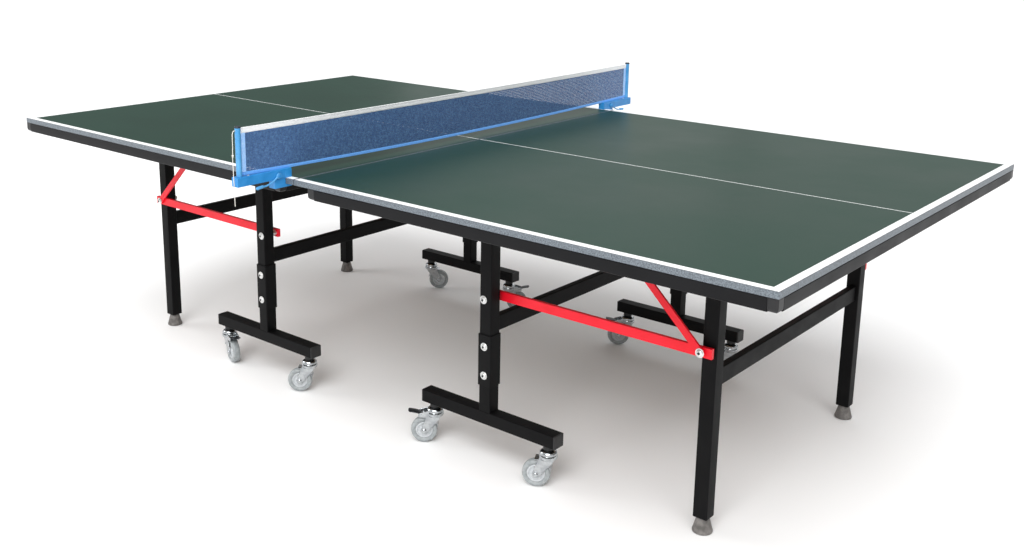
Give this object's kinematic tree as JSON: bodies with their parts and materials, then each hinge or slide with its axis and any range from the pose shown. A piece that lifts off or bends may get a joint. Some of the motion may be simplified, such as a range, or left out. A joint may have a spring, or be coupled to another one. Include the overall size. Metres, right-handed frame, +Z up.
{
  "type": "folding ping pong table",
  "caption": "Folding table tennis table: wheeled halves with drop-down end legs, locking stays, levelling feet and a clamped net.",
  "frame": {"origin": "on the floor, under the middle of the seam between the halves", "axes": "+X along the table towards the right half, +Y across it, +Z up"},
  "size_m": [2.74, 1.8451, 0.9171],
  "materials": {
    "frame_steel": "black powder coat, satin",
    "sleeve_steel": "black powder coat, satin",
    "bolt_steel": "bright zinc plate",
    "socket_plastic": "moulded, matte",
    "playing_board": "green lacquer on fibreboard, semi-gloss",
    "edge_strip": "silver grey strip, satin",
    "apron_steel": "black powder coat, satin",
    "corner_plastic": "moulded, matte",
    "stay_steel": "red enamel, gloss",
    "foot_plastic": "moulded, matte",
    "caster_steel": "pressed and plated",
    "wheel_tread": "translucent grey polyurethane",
    "pedal_steel": "dark grey coat",
    "net_post_paint": "light blue enamel",
    "net_cap_plastic": "moulded, matte",
    "bracket_paint": "blue enamel",
    "lever_paint": "light blue enamel",
    "net_yarn": "open blue mesh",
    "net_tape": "woven tape, white above and blue below",
    "cord_yarn": "twisted white yarn"
  },
  "bodies": {
    "right_carriage": {"right_wheel_bars": "frame_steel", "right_post_frame": "frame_steel", "right_height_sleeves": "sleeve_steel", "right_frame_bolts": "bolt_steel", "right_caster_sockets": "socket_plastic"},
    "right_top": {"right_board": "playing_board", "right_edge_band": "edge_strip", "right_apron": "apron_steel", "right_corner_caps": "corner_plastic", "right_top_rails": "frame_steel"},
    "right_legs": {"right_end_legs": "frame_steel"},
    "right_bars": {"right_stay_bars": "stay_steel", "right_bar_bolts": "bolt_steel"},
    "right_strut_pair": {"right_struts": "stay_steel"},
    "left_carriage": {"left_wheel_bars": "frame_steel", "left_post_frame": "frame_steel", "left_height_sleeves": "sleeve_steel", "left_frame_bolts": "bolt_steel", "left_caster_sockets": "socket_plastic"},
    "left_top": {"left_board": "playing_board", "left_edge_band": "edge_strip", "left_apron": "apron_steel", "left_corner_caps": "corner_plastic", "left_top_rails": "frame_steel", "net_posts": "net_post_paint", "net_post_caps": "net_cap_plastic", "net_brackets": "bracket_paint", "net_mesh": "net_yarn", "net_tapes": "net_tape", "net_cord": "cord_yarn"},
    "left_legs": {"left_end_legs": "frame_steel"},
    "left_bars": {"left_stay_bars": "stay_steel", "left_bar_bolts": "bolt_steel"},
    "left_strut_pair": {"left_struts": "stay_steel"},
    "foot_right_near": {"foot_right_near": "foot_plastic"},
    "foot_right_far": {"foot_right_far": "foot_plastic"},
    "foot_left_near": {"foot_left_near": "foot_plastic"},
    "foot_left_far": {"foot_left_far": "foot_plastic"},
    "fork_1": {"fork_1": "caster_steel"},
    "wheel_1": {"wheel_1": "wheel_tread"},
    "pedal_1": {"pedal_1": "pedal_steel"},
    "fork_2": {"fork_2": "caster_steel"},
    "wheel_2": {"wheel_2": "wheel_tread"},
    "fork_3": {"fork_3": "caster_steel"},
    "wheel_3": {"wheel_3": "wheel_tread"},
    "pedal_3": {"pedal_3": "pedal_steel"},
    "fork_4": {"fork_4": "caster_steel"},
    "wheel_4": {"wheel_4": "wheel_tread"},
    "fork_5": {"fork_5": "caster_steel"},
    "wheel_5": {"wheel_5": "wheel_tread"},
    "fork_6": {"fork_6": "caster_steel"},
    "wheel_6": {"wheel_6": "wheel_tread"},
    "pedal_6": {"pedal_6": "pedal_steel"},
    "fork_7": {"fork_7": "caster_steel"},
    "wheel_7": {"wheel_7": "wheel_tread"},
    "pedal_7": {"pedal_7": "pedal_steel"},
    "fork_8": {"fork_8": "caster_steel"},
    "wheel_8": {"wheel_8": "wheel_tread"},
    "clamp_lever_near": {"clamp_lever_near": "lever_paint"},
    "clamp_lever_far": {"clamp_lever_far": "lever_paint"}
  },
  "joints": [
    {"name": "halves_apart", "type": "slide", "parent": "right_carriage", "child": "left_carriage", "axis": [-1, 0, 0], "range_m": [0, 0.6]},
    {"name": "right_fold", "type": "hinge", "parent": "right_carriage", "child": "right_top", "pos_m": [0.416, 0, 0.73], "axis": [0, -1, 0], "range_deg": [0, 90]},
    {"name": "right_leg_fold", "type": "hinge", "parent": "right_top", "child": "right_legs", "pos_m": [1.023, 0, 0.73], "axis": [0, -1, 0], "range_deg": [-90, 0]},
    {"name": "right_bar_fold", "type": "hinge", "parent": "right_carriage", "child": "right_bars", "pos_m": [0.449, 0, 0.467], "axis": [0, -1, 0], "range_deg": [0, 90]},
    {"name": "right_strut_fold", "type": "hinge", "parent": "right_bars", "child": "right_strut_pair", "pos_m": [1.056, 0, 0.467], "axis": [0, -1, 0], "range_deg": [0, 43.2]},
    {"name": "left_fold", "type": "hinge", "parent": "left_carriage", "child": "left_top", "pos_m": [-0.416, 0, 0.73], "axis": [0, 1, 0], "range_deg": [0, 90]},
    {"name": "left_leg_fold", "type": "hinge", "parent": "left_top", "child": "left_legs", "pos_m": [-1.023, 0, 0.73], "axis": [0, 1, 0], "range_deg": [-90, 0]},
    {"name": "left_bar_fold", "type": "hinge", "parent": "left_carriage", "child": "left_bars", "pos_m": [-0.449, 0, 0.467], "axis": [0, 1, 0], "range_deg": [0, 90]},
    {"name": "left_strut_fold", "type": "hinge", "parent": "left_bars", "child": "left_strut_pair", "pos_m": [-1.056, 0, 0.467], "axis": [0, 1, 0], "range_deg": [0, 43.2]},
    {"name": "foot_right_near_turn", "type": "hinge", "parent": "right_legs", "child": "foot_right_near", "pos_m": [1.068, -0.424, 0.02], "axis": [0, 0, 1], "continuous": true},
    {"name": "foot_right_far_turn", "type": "hinge", "parent": "right_legs", "child": "foot_right_far", "pos_m": [1.068, 0.424, 0.02], "axis": [0, 0, 1], "continuous": true},
    {"name": "foot_left_near_turn", "type": "hinge", "parent": "left_legs", "child": "foot_left_near", "pos_m": [-1.068, -0.424, 0.02], "axis": [0, 0, 1], "continuous": true},
    {"name": "foot_left_far_turn", "type": "hinge", "parent": "left_legs", "child": "foot_left_far", "pos_m": [-1.068, 0.424, 0.02], "axis": [0, 0, 1], "continuous": true},
    {"name": "swivel_1", "type": "hinge", "parent": "left_carriage", "child": "fork_1", "pos_m": [-0.656, -0.495, 0.1], "axis": [0, 0, 1], "continuous": true},
    {"name": "roll_1", "type": "hinge", "parent": "fork_1", "child": "wheel_1", "pos_m": [-0.62747, -0.50427, 0.0375], "axis": [0.309, 0.9511, 0], "continuous": true},
    {"name": "brake_1", "type": "hinge", "parent": "fork_1", "child": "pedal_1", "pos_m": [-0.61796, -0.50736, 0.084], "axis": [0.309, 0.9511, 0], "range_deg": [0, 12]},
    {"name": "swivel_2", "type": "hinge", "parent": "left_carriage", "child": "fork_2", "pos_m": [-0.262, -0.495, 0.1], "axis": [0, 0, 1], "continuous": true},
    {"name": "roll_2", "type": "hinge", "parent": "fork_2", "child": "wheel_2", "pos_m": [-0.28498, -0.51428, 0.0375], "axis": [0.6428, -0.766, 0], "continuous": true},
    {"name": "swivel_3", "type": "hinge", "parent": "right_carriage", "child": "fork_3", "pos_m": [0.262, -0.495, 0.1], "axis": [0, 0, 1], "continuous": true},
    {"name": "roll_3", "type": "hinge", "parent": "fork_3", "child": "wheel_3", "pos_m": [0.23902, -0.51428, 0.0375], "axis": [0.6428, -0.766, 0], "continuous": true},
    {"name": "brake_3", "type": "hinge", "parent": "fork_3", "child": "pedal_3", "pos_m": [0.23136, -0.52071, 0.084], "axis": [0.6428, -0.766, 0], "range_deg": [0, 12]},
    {"name": "swivel_4", "type": "hinge", "parent": "right_carriage", "child": "fork_4", "pos_m": [0.656, -0.495, 0.1], "axis": [0, 0, 1], "continuous": true},
    {"name": "roll_4", "type": "hinge", "parent": "fork_4", "child": "wheel_4", "pos_m": [0.62951, -0.50908, 0.0375], "axis": [0.4695, -0.8829, 0], "continuous": true},
    {"name": "swivel_5", "type": "hinge", "parent": "left_carriage", "child": "fork_5", "pos_m": [-0.656, 0.495, 0.1], "axis": [0, 0, 1], "continuous": true},
    {"name": "roll_5", "type": "hinge", "parent": "fork_5", "child": "wheel_5", "pos_m": [-0.63302, 0.51428, 0.0375], "axis": [-0.6428, 0.766, 0], "continuous": true},
    {"name": "swivel_6", "type": "hinge", "parent": "left_carriage", "child": "fork_6", "pos_m": [-0.262, 0.495, 0.1], "axis": [0, 0, 1], "continuous": true},
    {"name": "roll_6", "type": "hinge", "parent": "fork_6", "child": "wheel_6", "pos_m": [-0.23902, 0.51428, 0.0375], "axis": [-0.6428, 0.766, 0], "continuous": true},
    {"name": "brake_6", "type": "hinge", "parent": "fork_6", "child": "pedal_6", "pos_m": [-0.23136, 0.52071, 0.084], "axis": [-0.6428, 0.766, 0], "range_deg": [0, 12]},
    {"name": "swivel_7", "type": "hinge", "parent": "right_carriage", "child": "fork_7", "pos_m": [0.262, 0.495, 0.1], "axis": [0, 0, 1], "continuous": true},
    {"name": "roll_7", "type": "hinge", "parent": "fork_7", "child": "wheel_7", "pos_m": [0.23902, 0.47572, 0.0375], "axis": [0.6428, -0.766, 0], "continuous": true},
    {"name": "brake_7", "type": "hinge", "parent": "fork_7", "child": "pedal_7", "pos_m": [0.23136, 0.46929, 0.084], "axis": [0.6428, -0.766, 0], "range_deg": [0, 12]},
    {"name": "swivel_8", "type": "hinge", "parent": "right_carriage", "child": "fork_8", "pos_m": [0.656, 0.495, 0.1], "axis": [0, 0, 1], "continuous": true},
    {"name": "roll_8", "type": "hinge", "parent": "fork_8", "child": "wheel_8", "pos_m": [0.63302, 0.47572, 0.0375], "axis": [0.6428, -0.766, 0], "continuous": true},
    {"name": "clamp_near_turn", "type": "hinge", "parent": "left_top", "child": "clamp_lever_near", "pos_m": [-0.0265, -0.7875, 0.77], "axis": [1, 0, 0], "range_deg": [0, 60]},
    {"name": "clamp_far_turn", "type": "hinge", "parent": "left_top", "child": "clamp_lever_far", "pos_m": [-0.0265, 0.7875, 0.77], "axis": [-1, 0, 0], "range_deg": [0, 60]}
  ],
  "couplings": [
    {"joint": "right_leg_fold", "follows": "right_fold", "ratio": -1},
    {"joint": "right_bar_fold", "follows": "right_fold", "ratio": 1},
    {"joint": "right_strut_fold", "follows": "right_fold", "ratio": 0.47864},
    {"joint": "left_leg_fold", "follows": "left_fold", "ratio": -1},
    {"joint": "left_bar_fold", "follows": "left_fold", "ratio": 1},
    {"joint": "left_strut_fold", "follows": "left_fold", "ratio": 0.47864}
  ]
}
